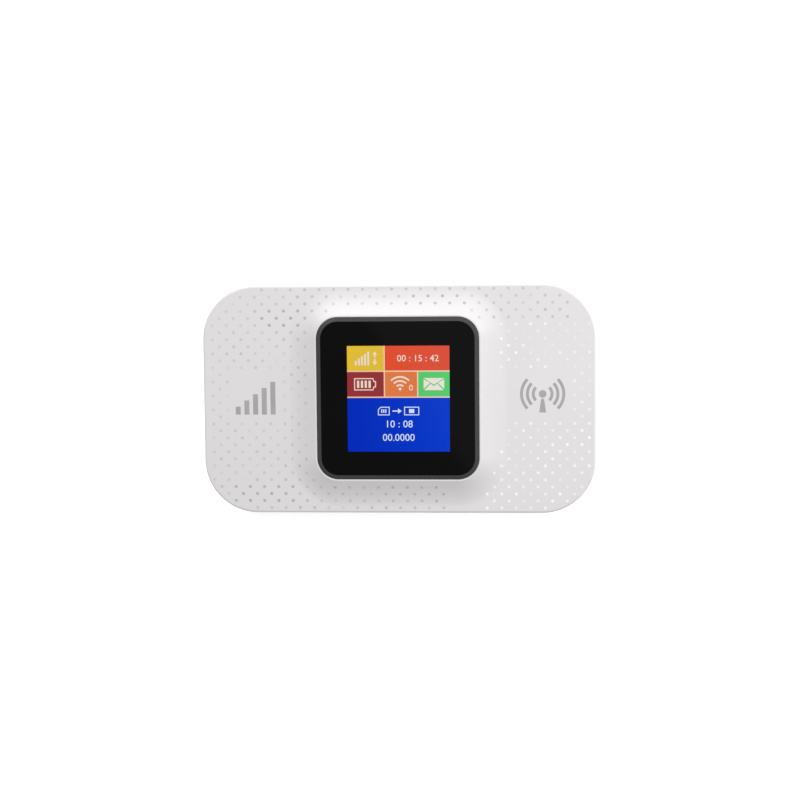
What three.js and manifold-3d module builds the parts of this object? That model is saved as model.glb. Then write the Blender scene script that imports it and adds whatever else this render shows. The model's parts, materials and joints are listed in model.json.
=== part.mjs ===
// A pocket mobile hotspot, in millimetres, lying on its back with the display facing +Z.
// X runs along the length, Y across it, towards the top of the picture that the display shows.
// The origin is on the surface that it lies on, under the middle of the body.
import * as THREE from "three";
import { mergeVertices } from "three/addons/utils/BufferGeometryUtils.js";
import Module from "manifold-3d";

// ---------------------------------------------------------------- driving dimensions

const BODY = { length: 98, width: 57.2, corner: 13.5 };
const WALL = 1.4; // side walls of both covers
const SKIN = 1.2; // front face and floor
const FIT = 0.15; // clearance each side of a piece that drops into a pocket
const TOUCH = 0.05; // air left between pieces that rest on each other

const SEAM = { low: 6.375, high: 6.625 }; // the parting line round the side
const FACE_Z = 12.6; // flat front face
const DRAFT = 0.15; // lean of the upper side wall
const FRONT_EDGE = 0.8; // edge radius, front
const BACK_EDGE = 3.0; // edge radius, back
const BACK_DRAFT = 0.1;

const WINDOW = { size: 40, corner: 5.2, y: 0.4 }; // the black display window
const RIM = { width: 0.45, z: 14.7 }; // white rim round the window
const FLARE = { width: 6.3, steps: 6 }; // hollow slope from the rim down to the face
const LENS = { low: 13.75, top: 15.0, bevel: 0.95, bevelDrop: 0.4 };
const SEAT_Z = 13.55; // ledge that the window is taped to
const APERTURE = { size: 37.1, corner: 3.75 }; // opening behind the window
const HOOD_Z = 12.95; // inner ceiling under the raised part

const FRAME = { low: 6.65, high: 7.4, lipLow: 5.3, lip: 1.0 }; // inner chassis plate and its lip
const BOARD = { low: 8.6, high: 9.6, left: -37, right: 45.9, bottom: -26.4, top: 20.8 };
const BATTERY = { length: 66, width: 47, low: 1.5, high: 6.3, x: -5, corner: 2.5 };
const BAY_WALL = 1.0;
const BAY_LOW = 1.75;

const SCREW = { x: 42, y: 21.6, head: 1.5, headHeight: 0.75, shank: 0.8, tip: 10.6 };
const BOSS = { radius: 2.2, hole: 1.0, low: 7.6 };

const KEY = { y: 8, z: 9.2, length: 9.0, height: 2.6 }; // its cap ends level with the body's end
const PORT = { x: 0, z: 9.1, mouth: -28.1, back: -22.6 };
const PINHOLE = { x: 13, z: 10.3, radius: 0.6 };

const ROUND = 7; // segments in a quarter turn of the body's corners
const SMALL_ROUND = 3; // the same for small parts
const TURN = 16; // sides of a small cylinder

// ---------------------------------------------------------------- outlines

// A rectangle with round corners, centred on (x, y).
function roundedRect(length, width, corner, x = 0, y = 0) {
  const a = length / 2 - corner;
  const b = width / 2 - corner;
  const shape = new THREE.Shape();
  shape.absarc(x + a, y + b, corner, 0, Math.PI / 2);
  shape.absarc(x - a, y + b, corner, Math.PI / 2, Math.PI);
  shape.absarc(x - a, y - b, corner, Math.PI, 1.5 * Math.PI);
  shape.absarc(x + a, y - b, corner, 1.5 * Math.PI, 2 * Math.PI);
  shape.closePath();
  return shape;
}

// The body's outline, taken in by `inset` all round.
function bodyOutline(inset) {
  return roundedRect(BODY.length - 2 * inset, BODY.width - 2 * inset, BODY.corner - inset);
}

// The window's outline, grown by `grow` all round.
function windowOutline(grow) {
  const size = WINDOW.size + 2 * grow;
  return roundedRect(size, size, WINDOW.corner + grow, 0, WINDOW.y);
}

function polygon(points) {
  return new THREE.Shape(points.map(([x, y]) => new THREE.Vector2(x, y)));
}

// ---------------------------------------------------------------- solids

const wasm = await Module();
wasm.setup();

// Outlines stacked one above the other, skinned and capped. Each ring is { shape, z }.
function loft(rings, segments = ROUND) {
  const outlines = rings.map(({ shape }) => {
    const points = shape.getPoints(segments);
    if (points[0].distanceTo(points.at(-1)) < 1e-6) points.pop();
    return points;
  });
  const count = outlines[0].length;
  const positions = outlines.flatMap((points, k) => points.flatMap((p) => [p.x, p.y, rings[k].z]));
  const faces = [];
  for (let k = 0; k + 1 < rings.length; k++)
    for (let i = 0; i < count; i++) {
      const j = (i + 1) % count;
      const [a, b, c, d] = [k * count + i, k * count + j, (k + 1) * count + j, (k + 1) * count + i];
      faces.push(a, b, c, a, c, d);
    }
  const top = (rings.length - 1) * count;
  for (const [a, b, c] of THREE.ShapeUtils.triangulateShape(outlines[0], []))
    faces.push(c, b, a);
  for (const [a, b, c] of THREE.ShapeUtils.triangulateShape(outlines.at(-1), []))
    faces.push(top + a, top + b, top + c);
  const geometry = new THREE.BufferGeometry();
  geometry.setAttribute("position", new THREE.Float32BufferAttribute(positions, 3));
  geometry.setIndex(faces);
  return geometry;
}

// A flat shape made into a slab from z = low to z = high.
function slab(shape, low, high, segments = SMALL_ROUND) {
  const options = { depth: high - low, bevelEnabled: false, curveSegments: segments };
  return new THREE.ExtrudeGeometry(shape, options).translate(0, 0, low);
}

// A shape drawn in X and Z, extruded along Y from low to high.
function alongY(shape, low, high, segments = SMALL_ROUND) {
  return slab(shape, 0, high - low, segments).rotateX(Math.PI / 2).translate(0, high, 0);
}

// A shape drawn in Y and Z, extruded along X from low to high.
function alongX(shape, low, high, segments = SMALL_ROUND) {
  const upright = slab(shape, 0, high - low, segments).rotateX(Math.PI / 2);
  return upright.rotateZ(Math.PI / 2).translate(low, 0, 0);
}

// A box given by its span along each axis.
function block([x0, x1], [y0, y1], [z0, z1]) {
  const box = new THREE.BoxGeometry(x1 - x0, y1 - y0, z1 - z0);
  return box.translate((x0 + x1) / 2, (y0 + y1) / 2, (z0 + z1) / 2);
}

// An upright cylinder at (x, y) from z = low to z = high.
function post(radius, x, y, low, high) {
  const cylinder = new THREE.CylinderGeometry(radius, radius, high - low, TURN);
  return cylinder.rotateX(Math.PI / 2).translate(x, y, (low + high) / 2);
}

function toSolid(geometry) {
  const bare = geometry.clone();
  bare.deleteAttribute("normal");
  bare.deleteAttribute("uv");
  const merged = mergeVertices(bare, 1e-4);
  const vertProperties = merged.getAttribute("position").array;
  const triVerts = new Uint32Array(merged.index.array);
  return new wasm.Manifold(new wasm.Mesh({ numProp: 3, vertProperties, triVerts }));
}

function toGeometry(solid) {
  const { vertProperties, triVerts } = solid.getMesh();
  const geometry = new THREE.BufferGeometry();
  geometry.setAttribute("position", new THREE.BufferAttribute(vertProperties, 3));
  geometry.setIndex(new THREE.BufferAttribute(triVerts, 1));
  geometry.computeVertexNormals();
  return geometry;
}

const join = (...geometries) => toGeometry(geometries.map(toSolid).reduce((a, b) => a.add(b)));
const cut = (base, ...tools) =>
  toGeometry(tools.map(toSolid).reduce((left, tool) => left.subtract(tool), toSolid(base)));
const common = (a, b) => toGeometry(toSolid(a).intersect(toSolid(b)));

// ---------------------------------------------------------------- materials

function finish(color, roughness, metalness = 0) {
  return new THREE.MeshStandardMaterial({ color, roughness, metalness });
}

const MATERIAL = {
  shell: finish(0xf1f0f2, 0.25),
  chassis: finish(0xdcdcdc, 0.6),
  window: finish(0x0a0a0b, 0.08),
  tape: finish(0x141414, 0.8),
  foam: finish(0x222222, 0.95),
  panel: finish(0x0b2f9c, 0.1),
  backlight: finish(0xf4f4f0, 0.5),
  flex: finish(0xb5722a, 0.4),
  board: finish(0x1c5a3a, 0.45),
  tin: finish(0xb9bcc0, 0.35, 0.9),
  steel: finish(0xc9ccd0, 0.3, 0.95),
  gold: finish(0xd9b45a, 0.3, 1.0),
  chip: finish(0x1a1b1d, 0.55),
  connector: finish(0x26262a, 0.6),
  key: finish(0xe6e6e8, 0.35),
  pad: finish(0x8d9aa8, 0.85),
  battery: finish(0x2c2f36, 0.5),
  label: finish(0xf2f2ee, 0.8),
};

const hotspot = new THREE.Group();

// Adds one named piece to the assembly. `at` shifts a piece that is modelled round its own origin.
function add(name, geometry, material, at = [0, 0, 0]) {
  const mesh = new THREE.Mesh(geometry, material);
  mesh.name = name;
  mesh.position.set(...at);
  hotspot.add(mesh);
}

// The four places where a screw holds the chassis to the front cover.
const screwPlaces = [-1, 1].flatMap((sx) => [-1, 1].map((sy) => [sx * SCREW.x, sy * SCREW.y]));

// ---------------------------------------------------------------- front cover

// Rings of the outside, from the seam up the wall, round the edge and up the flare to the rim.
function frontRings() {
  const rings = [{ shape: bodyOutline(0), z: SEAM.high }];
  const edgeLow = FACE_Z - FRONT_EDGE;
  for (let k = 0; k <= 4; k++) {
    const turn = (k / 4) * (Math.PI / 2);
    const inset = DRAFT + FRONT_EDGE * (1 - Math.cos(turn));
    rings.push({ shape: bodyOutline(inset), z: edgeLow + FRONT_EDGE * Math.sin(turn) });
  }
  for (let k = FLARE.steps; k >= 0; k--) {
    const out = k / FLARE.steps;
    const z = FACE_Z + (RIM.z - FACE_Z) * (1 - out) ** 2;
    rings.push({ shape: windowOutline(RIM.width + FIT + FLARE.width * out), z });
  }
  return rings;
}

function frontCover() {
  const ceiling = FACE_Z - SKIN;
  const hollow = loft([SEAM.high - 1, ceiling].map((z) => ({ shape: bodyOutline(WALL), z })));
  const hoodInside = roundedRect(40, 40, 5, 0, WINDOW.y);
  const aperture = roundedRect(APERTURE.size, APERTURE.size, APERTURE.corner, 0, WINDOW.y);
  const keySlot = roundedRect(
    KEY.length + 2 * FIT, KEY.height + 2 * FIT, KEY.height / 2 + FIT - 0.01, KEY.y, KEY.z);
  const portHole = roundedRect(8.5, 3.5, 1.2, PORT.x, PORT.z);
  const outerY = -BODY.width / 2;
  const pinhole = new THREE.CylinderGeometry(PINHOLE.radius, PINHOLE.radius, 4, TURN);
  pinhole.translate(PINHOLE.x, outerY, PINHOLE.z);

  const shell = cut(
    loft(frontRings()),
    hollow,
    slab(hoodInside, ceiling - 1, HOOD_Z),
    slab(aperture, ceiling - 1, RIM.z + 1),
    slab(windowOutline(FIT), SEAT_Z, RIM.z + 1, ROUND),
    alongX(keySlot, BODY.length / 2 - 2 * WALL, BODY.length / 2 + 1),
    alongY(portHole, outerY - 1, outerY + 2 * WALL),
    pinhole,
  );
  const bosses = screwPlaces.map(([x, y]) => post(BOSS.radius, x, y, BOSS.low, ceiling + 0.2));
  const pilots = screwPlaces.map(([x, y]) => post(BOSS.hole, x, y, BOSS.low - 1, ceiling - 0.4));
  return cut(join(shell, ...bosses), ...pilots);
}

add("front_cover", frontCover(), MATERIAL.shell);

// ---------------------------------------------------------------- chassis

const BAY = {
  left: BATTERY.x - BATTERY.length / 2 - 0.3,
  right: BATTERY.x + BATTERY.length / 2 + 0.3,
  half: BATTERY.width / 2 + 0.3,
};
const TERMINALS = { half: 5, depth: 2.3, low: 2.6 }; // the spring block at the battery's end
const SIM = { x: [31.4, 45.9], y: [-18.5, -1.5], z: [6.9, 8.5] };
const CARD = { x: [31.4, 45.8], y: [1.6, 15.6], z: [6.9, 8.5] };
const CARD_RUN = 14; // open length in the bay's floor, along which a card slides in
const CATCH = { length: 6, depth: 0.1 };

// Places of the snap catches along the two long sides.
const catchPlaces = [-24, 0, 24];

function chassis() {
  const outline = bodyOutline(WALL + 0.25);
  const plate = slab(outline, FRAME.low, FRAME.high, ROUND);
  const lip = cut(
    slab(outline, FRAME.lipLow, FRAME.low + 0.1, ROUND),
    slab(bodyOutline(WALL + 0.25 + FRAME.lip), FRAME.lipLow - 1, FRAME.low + 1, ROUND),
  );
  const bayLength = BAY.right - BAY.left;
  const bayOuter = roundedRect(
    bayLength + 2 * BAY_WALL, 2 * BAY.half + 2 * BAY_WALL, 3.2, BATTERY.x, 0);
  const bayInner = roundedRect(bayLength, 2 * BAY.half, 2.4, BATTERY.x, 0);
  const bay = cut(
    slab(bayOuter, BAY_LOW, FRAME.low + 0.1),
    slab(bayInner, BAY_LOW - 1, FRAME.low + 1),
  );
  const wallY = BODY.width / 2 - WALL - 0.25;
  const catches = catchPlaces.flatMap((x) =>
    [-1, 1].map((side) =>
      block(
        [x - CATCH.length / 2, x + CATCH.length / 2],
        [side * wallY - CATCH.depth, side * wallY + CATCH.depth],
        [5.5, 5.8],
      )));
  const supports = [[-33, 15], [-33, -15], [24, -21.2], [8, 17]].map(([x, y]) =>
    post(1.4, x, y, FRAME.high - 0.1, BOARD.low - TOUCH));
  const blockWindow = block(
    [BAY.right - 0.5, BAY.right + TERMINALS.depth + 1.0],
    [-TERMINALS.half - 0.4, TERMINALS.half + 0.4],
    [TERMINALS.low - 0.6, FRAME.high + 1],
  );
  const readerWindows = [SIM, CARD].map(({ x, y }) =>
    block([x[0] - CARD_RUN, x[1] + 0.3], [y[0] - 0.3, y[1] + 0.3], [FRAME.low - 1, FRAME.high + 1]));
  const screwHoles = screwPlaces.map(([x, y]) =>
    post(BOSS.hole, x, y, FRAME.lipLow, FRAME.high + 1));
  return cut(
    join(plate, lip, bay, ...catches, ...supports), blockWindow, ...readerWindows, ...screwHoles);
}

add("chassis", chassis(), MATERIAL.chassis);

// ---------------------------------------------------------------- back cover

function backCover() {
  const outside = [];
  for (let k = 0; k <= 4; k++) {
    const turn = (k / 4) * (Math.PI / 2);
    const inset = BACK_DRAFT + BACK_EDGE * (1 - Math.sin(turn));
    outside.push({ shape: bodyOutline(inset), z: BACK_EDGE * (1 - Math.cos(turn)) });
  }
  outside.push({ shape: bodyOutline(0), z: SEAM.low });
  const inside = [
    { shape: bodyOutline(3.6), z: SKIN },
    { shape: bodyOutline(2.1), z: SKIN + 0.5 },
    { shape: bodyOutline(WALL + BACK_DRAFT), z: BACK_EDGE + 0.2 },
    { shape: bodyOutline(WALL), z: SEAM.low + 1 },
  ];
  const nailNotch = alongX(
    roundedRect(10, 1.6, 0.7, 0, SEAM.low), -BODY.length / 2 - 1, -BODY.length / 2 + 0.6);
  const shell = cut(loft(outside), loft(inside), nailNotch);
  const wallY = BODY.width / 2 - WALL;
  const catches = catchPlaces.flatMap((x) =>
    [-1, 1].map((side) =>
      block(
        [x - CATCH.length / 2, x + CATCH.length / 2],
        [side * wallY - CATCH.depth, side * wallY + CATCH.depth],
        [5.95, 6.25],
      )));
  return join(shell, ...catches);
}

add("back_cover", backCover(), MATERIAL.shell);

// ---------------------------------------------------------------- display

// The window: a plate with a sloping edge, taped onto the ledge.
function displayWindow() {
  const side = { shape: windowOutline(0), z: LENS.top - LENS.bevelDrop };
  return loft([
    { shape: windowOutline(0), z: LENS.low },
    side,
    { shape: windowOutline(-LENS.bevel), z: LENS.top },
  ]);
}

function ringPlate(outer, inner, low, high) {
  outer.holes.push(inner);
  return slab(outer, low, high);
}

const VIEW = { length: 25.5, width: 26.3 }; // lit area
const PANEL = { left: -15, right: 15, bottom: -17.6, top: 14.6 }; // glass of the display

add("display_window", displayWindow(), MATERIAL.window);
add(
  "window_tape",
  ringPlate(windowOutline(-0.2), windowOutline(-1.45), SEAT_Z + TOUCH, LENS.low - TOUCH),
  MATERIAL.tape,
);

function displayPanel() {
  const spanY = [PANEL.bottom, PANEL.top];
  return block([PANEL.left, PANEL.right], spanY, [12.45, 13.2]);
}

// A tray that holds the light guide under the panel.
function backlightTray() {
  const grow = 0.5;
  const x = [PANEL.left - grow, PANEL.right + grow];
  const y = [PANEL.bottom - grow, PANEL.top + grow];
  return cut(
    block(x, y, [11.5, 12.95]),
    block([PANEL.left - 0.15, PANEL.right + 0.15], [PANEL.bottom - 0.15, PANEL.top + 0.15], [12.35, 14]),
    block([-6.4, 6.4], [PANEL.bottom - 2, PANEL.bottom], [12.3, 14]),
  );
}

// The ribbon leaves the panel's lower edge, turns under the tray and runs back to its connector.
function displayFlex() {
  const edge = PANEL.bottom - 0.55;
  const thick = 0.15;
  const path = [[PANEL.bottom - 0.03, 12.75], [edge - 0.3, 12.7], [edge - 0.6, 12.3],
    [edge - 0.6, 11.6], [edge - 0.3, 11.2], [edge + 5, 11.05], [-11.8, 10.75]];
  const back = path.map(([y, z], i) => {
    const [y0, z0] = path[Math.max(0, i - 1)];
    const [y1, z1] = path[Math.min(path.length - 1, i + 1)];
    const length = Math.hypot(y1 - y0, z1 - z0);
    return [y - ((z1 - z0) / length) * thick, z + ((y1 - y0) / length) * thick];
  });
  return alongX(polygon([...path, ...back.reverse()]), -6, 6);
}

const atWindow = [0, WINDOW.y, 0];
add("display_panel", displayPanel(), MATERIAL.panel, atWindow);
add("backlight_tray", backlightTray(), MATERIAL.backlight, atWindow);
add("display_flex", displayFlex(), MATERIAL.flex, atWindow);
add(
  "light_gasket",
  ringPlate(
    roundedRect(29.4, 31.4, 0.6, 0, -1.4), roundedRect(VIEW.length + 0.8, VIEW.width + 0.8, 0.3),
    13.25, 13.7),
  MATERIAL.foam,
  atWindow,
);

// ---------------------------------------------------------------- circuit board

function mainBoard() {
  const { left, right, bottom, top } = BOARD;
  const outline = polygon([
    [left, -20.6], [-12, -20.6], [-12, bottom], [right, bottom], [right, top], [left, top]]);
  const sheet = common(
    slab(outline, BOARD.low, BOARD.high),
    slab(bodyOutline(WALL + 0.5), BOARD.low - 1, BOARD.high + 1, ROUND),
  );
  const portNotch = block([-4.3, 4.3], [bottom - 2, PORT.back + 0.3], [BOARD.low - 1, BOARD.high + 1]);
  const bossHoles = screwPlaces.map(([x, y]) =>
    post(BOSS.radius + 0.4, x, y, BOARD.low - 1, BOARD.high + 1));
  return cut(sheet, portNotch, ...bossHoles);
}

// A pressed tin cover, open towards the board.
function shieldCan(x, y, height) {
  const thick = 0.25;
  const low = BOARD.high + TOUCH;
  return cut(
    block(x, y, [low, low + height]),
    block([x[0] + thick, x[1] - thick], [y[0] + thick, y[1] - thick], [low - 1, low + height - thick]),
  );
}

const onBoard = (x, y, height) =>
  block(x, y, [BOARD.high + TOUCH, BOARD.high + TOUCH + height]);

add("main_board", mainBoard(), MATERIAL.board);
add("baseband_shield", shieldCan([-34.5, -10], [-3.5, 18.5], 1.3), MATERIAL.tin);
add("radio_shield", shieldCan([13, 35], [-3, 17], 1.3), MATERIAL.tin);
add("wireless_shield", shieldCan([-34.5, -19.5], [-18.8, -5.6], 1.3), MATERIAL.tin);
add("baseband_chip", onBoard([-31, -19], [2.5, 14.5], 0.9), MATERIAL.chip);
add("memory_chip", onBoard([-17.5, -11.5], [3.5, 13], 0.8), MATERIAL.chip);
add("radio_chip", onBoard([16, 23], [3.5, 10.5], 0.8), MATERIAL.chip);
add("power_amplifier", onBoard([26, 31], [2, 6], 0.7), MATERIAL.chip);
add("wireless_chip", onBoard([-30.5, -23.5], [-15.7, -8.7], 0.8), MATERIAL.chip);
add("power_manager", onBoard([-3, 2.5], [1, 6.5], 0.8), MATERIAL.chip);
add("display_socket", onBoard([-7, 7], [-13.6, -10.4], 0.95), MATERIAL.connector);
add("heat_pad", block([-32, -20], [0, 15], [11.0, 11.35]), MATERIAL.pad);

// A low metal cage under the board, with a flat slot that opens towards the battery bay.
function cardReader({ x, y, z }, slotWidth) {
  const middle = (y[0] + y[1]) / 2;
  return cut(
    block(x, y, z),
    block([x[0] - 1, x[1] - 0.8], [middle - slotWidth / 2, middle + slotWidth / 2], [z[0] + 0.3, z[0] + 1.2]),
    block([x[0] + 3, x[1] - 4], [middle - slotWidth / 4, middle + slotWidth / 4], [z[0] - 1, z[0] + 0.5]),
  );
}

add("sim_reader", cardReader(SIM, 15.2), MATERIAL.steel);
add("memory_card_reader", cardReader(CARD, 11.4), MATERIAL.steel);

// ---------------------------------------------------------------- charging port

// The D-shaped mouth of a micro port, grown by `grow` all round.
function portShape(grow) {
  const half = 3.45 + grow;
  const top = 0.93 + grow;
  const low = -0.93 - grow;
  const slope = 0.85;
  return polygon([
    [-half + slope, low], [half - slope, low], [half, low + slope], [half, top], [-half, top],
    [-half, low + slope]]);
}

function portShell() {
  const tube = portShape(0.3);
  tube.holes.push(portShape(0));
  return alongY(tube, PORT.mouth, PORT.back);
}

function portTongue() {
  const base = alongY(portShape(-0.08), PORT.back - 1.2, PORT.back - 0.1);
  const tongue = block([-1.9, 1.9], [PORT.back - 4.8, PORT.back - 0.3], [-0.05, 0.5]);
  return join(base, tongue);
}

add("port_shell", portShell(), MATERIAL.steel, [PORT.x, 0, PORT.z]);
add("port_tongue", portTongue(), MATERIAL.connector, [PORT.x, 0, PORT.z]);

// ---------------------------------------------------------------- keys and switches

const SWITCH = { height: 1.4, plunger: 0.45 }; // side-push switches on the board
const wallInside = BODY.length / 2 - WALL;
const FLANGE = { thick: 0.8, gap: 0.15 };
const flangeFace = wallInside - FLANGE.gap - FLANGE.thick; // the side that meets the switch

// The cap goes through the wall, and the flange behind it keeps it in.
function powerKey() {
  const cap = alongX(
    roundedRect(KEY.length, KEY.height, KEY.height / 2 - 0.01, 0, KEY.z),
    flangeFace + 0.1, BODY.length / 2, 5);
  const flange = block(
    [flangeFace, flangeFace + FLANGE.thick], [-5.8, 5.8], [KEY.z - 1.7, KEY.z + 2.0]);
  return join(cap, flange);
}

// A switch body with a pocket for its plunger. It faces +X and sits with its face at x = 0.
function switchBody(width, depth) {
  const z = [BOARD.high + TOUCH, BOARD.high + TOUCH + SWITCH.height];
  const middle = PINHOLE.z;
  return cut(
    block([-depth, 0], [-width / 2, width / 2], z),
    block([-1.1, 1], [-0.95, 0.95], [middle - SWITCH.plunger - 0.1, middle + SWITCH.plunger + 0.1]),
  );
}

// The plunger, from inside the pocket to its tip at x = reach.
function switchPlunger(reach) {
  const z = [PINHOLE.z - SWITCH.plunger, PINHOLE.z + SWITCH.plunger];
  return block([-0.6, reach], [-0.85, 0.85], z);
}

const powerSwitchFace = 45.2;
add("power_key", powerKey(), MATERIAL.key, [0, KEY.y, 0]);
add("power_switch", switchBody(4.6, 3.0), MATERIAL.steel, [powerSwitchFace, KEY.y, 0]);
add(
  "power_switch_plunger", switchPlunger(flangeFace - TOUCH - powerSwitchFace), MATERIAL.connector,
  [powerSwitchFace, KEY.y, 0]);

const resetFace = -25.7;
const RESET_REACH = 0.75;
const turned = -Math.PI / 2; // the reset switch faces -Y
add(
  "reset_switch", switchBody(4.0, 2.6).rotateZ(turned), MATERIAL.steel, [PINHOLE.x, resetFace, 0]);
add(
  "reset_switch_plunger", switchPlunger(RESET_REACH).rotateZ(turned), MATERIAL.connector,
  [PINHOLE.x, resetFace, 0]);

// ---------------------------------------------------------------- battery

function batteryPack() {
  const round = 0.7;
  const outline = roundedRect(
    BATTERY.length - 2 * round, BATTERY.width - 2 * round, BATTERY.corner - round);
  const pack = new THREE.ExtrudeGeometry(outline, {
    depth: BATTERY.high - BATTERY.low - 2 * round,
    bevelThickness: round, bevelSize: round, bevelSegments: 2, curveSegments: 4,
  });
  return pack.translate(0, 0, BATTERY.low + round);
}

const batteryEnd = BATTERY.x + BATTERY.length / 2;
const contactPlaces = [-3, -1, 1, 3];

// A strip that carries the battery's own contact plates, on its end face.
function batteryTerminals() {
  return block([0.03, 0.2], [-4.6, 4.6], [3.0, 5.4]);
}

// A spring finger: a thin strip that bulges out of the block towards the battery.
function contactSpring() {
  const thick = 0.12;
  const outer = [[0, 3.2], [-0.42, 3.9], [-0.42, 4.5], [0, 5.2]];
  const inner = outer.map(([x, z]) => [x + thick, z]).reverse();
  return alongY(polygon([...outer, ...inner].reverse()), -0.4, 0.4);
}

add("battery_pack", batteryPack(), MATERIAL.battery, [BATTERY.x, 0, 0]);
add("battery_terminals", batteryTerminals(), MATERIAL.gold, [batteryEnd, 0, 0]);
add(
  "battery_label",
  slab(roundedRect(52, 32, 1), BATTERY.low - 0.15, BATTERY.low - TOUCH),
  MATERIAL.label,
  [BATTERY.x, 0, 0],
);
add(
  "battery_connector",
  block([0, TERMINALS.depth], [-TERMINALS.half, TERMINALS.half], [TERMINALS.low, BOARD.low - TOUCH]),
  MATERIAL.connector,
  [batteryEnd + 0.85, 0, 0],
);
contactPlaces.forEach((y, i) =>
  add(`contact_spring_${i + 1}`, contactSpring(), MATERIAL.gold, [batteryEnd + 0.7, y, 0]));

// ---------------------------------------------------------------- antennas

const FOIL = { low: FRAME.high + TOUCH, high: FRAME.high + 0.25 };

const mainAntenna = polygon([
  [-46.5, -13], [-44, -15], [-35.2, -15], [-35.2, -11.5], [-42, -11.5], [-42, -6], [-39, -6],
  [-39, 6], [-42, 6], [-42, 11], [-39, 11], [-39, 14], [-44.5, 14], [-46.5, 12]]);
const diversityAntenna = polygon([
  [-22, 22.6], [6, 22.6], [6, 19.6], [8.5, 19.6], [8.5, 22.6], [24, 22.6], [24, 26.2],
  [-2, 26.2], [-2, 25.0], [-20, 25.0], [-20, 26.2], [-22, 26.2]]);
const wirelessAntenna = polygon([
  [-33, -26.2], [-18, -26.2], [-18, -25], [-30, -25], [-30, -23.8], [-18, -23.8], [-18, -19.4],
  [-20, -19.4], [-20, -22.4], [-33, -22.4]]);

// The foil's contact to the board: a small strip folded into a C.
function antennaClip() {
  const [low, high] = [FOIL.high + TOUCH, BOARD.low - TOUCH];
  const thick = 0.15;
  const fold = polygon([
    [0, low], [1.6, low], [1.6, low + thick], [thick, low + thick], [thick, high - thick],
    [1.6, high - thick], [1.6, high], [0, high]]);
  return alongY(fold, -0.6, 0.6);
}

add("main_antenna", slab(mainAntenna, FOIL.low, FOIL.high), MATERIAL.flex);
add("diversity_antenna", slab(diversityAntenna, FOIL.low, FOIL.high), MATERIAL.flex);
add("wireless_antenna", slab(wirelessAntenna, FOIL.low, FOIL.high), MATERIAL.flex);
add("main_antenna_clip", antennaClip(), MATERIAL.gold, [-37, -13.2, 0]);
add("diversity_antenna_clip", antennaClip(), MATERIAL.gold, [6.5, 20.2, 0]);
add("wireless_antenna_clip", antennaClip(), MATERIAL.gold, [-19.8, -20.0, 0]);

// ---------------------------------------------------------------- screws and label

// A pan-head screw, turned about its own axis, with its head against the chassis plate.
function screw() {
  const headTop = FRAME.low - TOUCH;
  const headLow = headTop - SCREW.headHeight;
  const profile = [
    [0, headLow], [SCREW.head * 0.75, headLow], [SCREW.head, headLow + 0.3], [SCREW.head, headTop],
    [SCREW.shank, headTop], [SCREW.shank, SCREW.tip - 0.5], [0, SCREW.tip]];
  const points = profile.map(([r, z]) => new THREE.Vector2(r, z));
  const turnedPiece = new THREE.LatheGeometry(points, 12).rotateX(Math.PI / 2);
  const drive = post(0.55, 0, 0, headLow - 1, headLow + 0.35);
  return cut(turnedPiece, drive);
}

screwPlaces.forEach(([x, y], i) => add(`screw_${i + 1}`, screw(), MATERIAL.steel, [x, y, 0]));

add(
  "bay_label",
  slab(roundedRect(40, 22, 1), FRAME.low - 0.15, FRAME.low - TOUCH),
  MATERIAL.label,
  [BATTERY.x - 6, 0, 0],
);

export default hotspot;
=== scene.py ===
# %% [markdown]
# # A pocket mobile hotspot
# This lesson dresses a finished CAD model of a pocket hotspot: a slim white case with a raised, square,
# black display window, a printed pattern of dots, and a back that snaps off over a battery. The CAD model
# gives every size and place. Here the outside is modelled again with fine rounded surfaces, and every part
# gets its finish.
#
# Work goes from large to small: case, window, picture on the display, print, then port, key, battery and
# the parts inside. Lengths are written in millimetres and turned to metres by the constant `MM` where
# Blender needs them.

# %% Load the frame
import json
import math

import bmesh
import bpy
from mathutils import Matrix, Vector

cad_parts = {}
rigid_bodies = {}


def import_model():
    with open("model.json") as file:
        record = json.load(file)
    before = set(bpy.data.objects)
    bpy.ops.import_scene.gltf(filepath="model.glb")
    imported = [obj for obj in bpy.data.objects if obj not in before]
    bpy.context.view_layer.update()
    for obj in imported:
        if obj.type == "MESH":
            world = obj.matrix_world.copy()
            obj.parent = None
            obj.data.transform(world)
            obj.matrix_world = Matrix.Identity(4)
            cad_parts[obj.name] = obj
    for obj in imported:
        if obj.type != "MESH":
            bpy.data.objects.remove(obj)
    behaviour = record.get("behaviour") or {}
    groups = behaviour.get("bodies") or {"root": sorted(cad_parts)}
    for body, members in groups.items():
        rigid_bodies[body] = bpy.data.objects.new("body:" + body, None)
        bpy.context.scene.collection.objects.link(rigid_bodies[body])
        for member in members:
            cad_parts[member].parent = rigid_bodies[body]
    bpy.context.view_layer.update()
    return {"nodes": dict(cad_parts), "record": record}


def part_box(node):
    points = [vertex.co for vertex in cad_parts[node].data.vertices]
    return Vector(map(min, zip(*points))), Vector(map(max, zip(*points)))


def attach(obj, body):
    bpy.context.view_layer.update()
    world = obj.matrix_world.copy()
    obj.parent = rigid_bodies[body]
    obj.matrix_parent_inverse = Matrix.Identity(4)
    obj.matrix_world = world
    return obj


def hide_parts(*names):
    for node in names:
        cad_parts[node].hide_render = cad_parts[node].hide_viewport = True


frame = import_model()
MM = 0.001

# %% [markdown]
# ## Camera
# The camera looks almost straight down at the display from 40 cm, a little from the right and from above,
# as a hand-held product picture does. It is made first, so that every later step can be looked at through
# it.

# %% Camera
LOOK_AT = Vector((0, 0, 7)) * MM
DISTANCE = 400
FROM_RIGHT = math.radians(4.24)
FROM_ABOVE = math.radians(4.69)
ROLL = math.radians(-0.49)
FIELD = 201.4  # width of the picture at that distance
SENSOR = 36


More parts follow.
